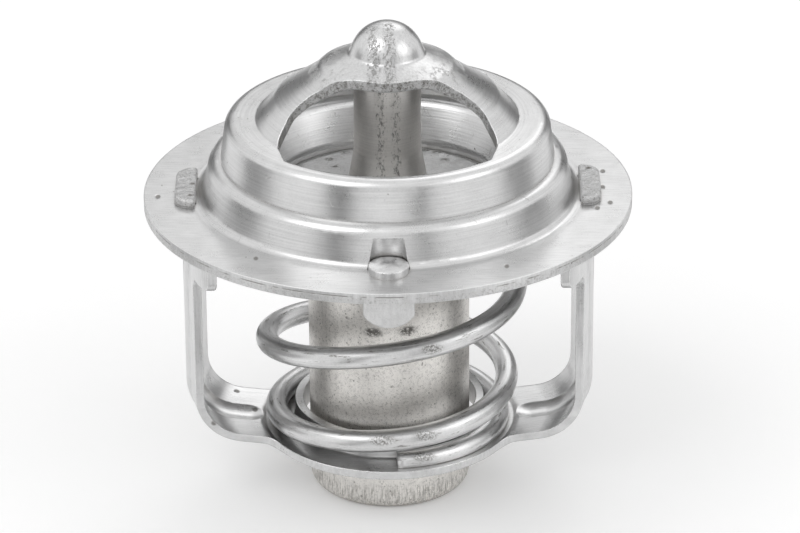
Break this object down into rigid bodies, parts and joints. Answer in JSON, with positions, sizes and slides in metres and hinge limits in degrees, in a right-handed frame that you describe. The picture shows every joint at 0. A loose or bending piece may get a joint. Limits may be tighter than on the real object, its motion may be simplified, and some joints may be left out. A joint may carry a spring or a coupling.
{
  "type": "engine thermostat",
  "caption": "Wax-element engine thermostat: round flange, windowed bell with a nub, spring, wax cup in a pressed frame, and a vent pin.",
  "frame": {"origin": "centre of the flange's rim, at its upper face", "axes": "+Z along the thermostat's axis, up through the bell; the windows face -Y and +Y, the legs stand at -X and +X, the vent pin is at -Y"},
  "size_m": [0.054, 0.054, 0.0554],
  "materials": {
    "pressed_steel": "bright stainless sheet, as pressed",
    "spring_steel": "drawn stainless wire",
    "cup_metal": "tinned brass, satin",
    "guide_metal": "turned and plated",
    "piston_steel": "ground",
    "rubber": "moulded",
    "wax": "wax mixed with metal powder",
    "fluid": "soft grease",
    "washer_plastic": "smooth white plastic"
  },
  "bodies": {
    "housing": {"flange_seat": "pressed_steel", "upper_bell": "pressed_steel", "lower_frame": "pressed_steel", "main_spring": "spring_steel", "piston": "piston_steel", "backup_washer": "washer_plastic"},
    "element": {"guide": "guide_metal", "wax_cup": "cup_metal", "wax_charge": "wax", "diaphragm": "rubber", "transfer_fluid": "fluid", "rubber_plug": "rubber", "valve_disc": "pressed_steel"},
    "jiggle_pin": {"jiggle_pin": "pressed_steel"}
  },
  "joints": [
    {"name": "valve_lift", "type": "slide", "parent": "housing", "child": "element", "axis": [0, 0, -1], "range_m": [0, 0.008], "stiffness_N_per_m": 8800, "springref_m": -0.009, "deforming": ["main_spring"]},
    {"name": "jiggle_float", "type": "slide", "parent": "housing", "child": "jiggle_pin", "axis": [0, 0, 1], "range_m": [0, 0.0014]}
  ]
}
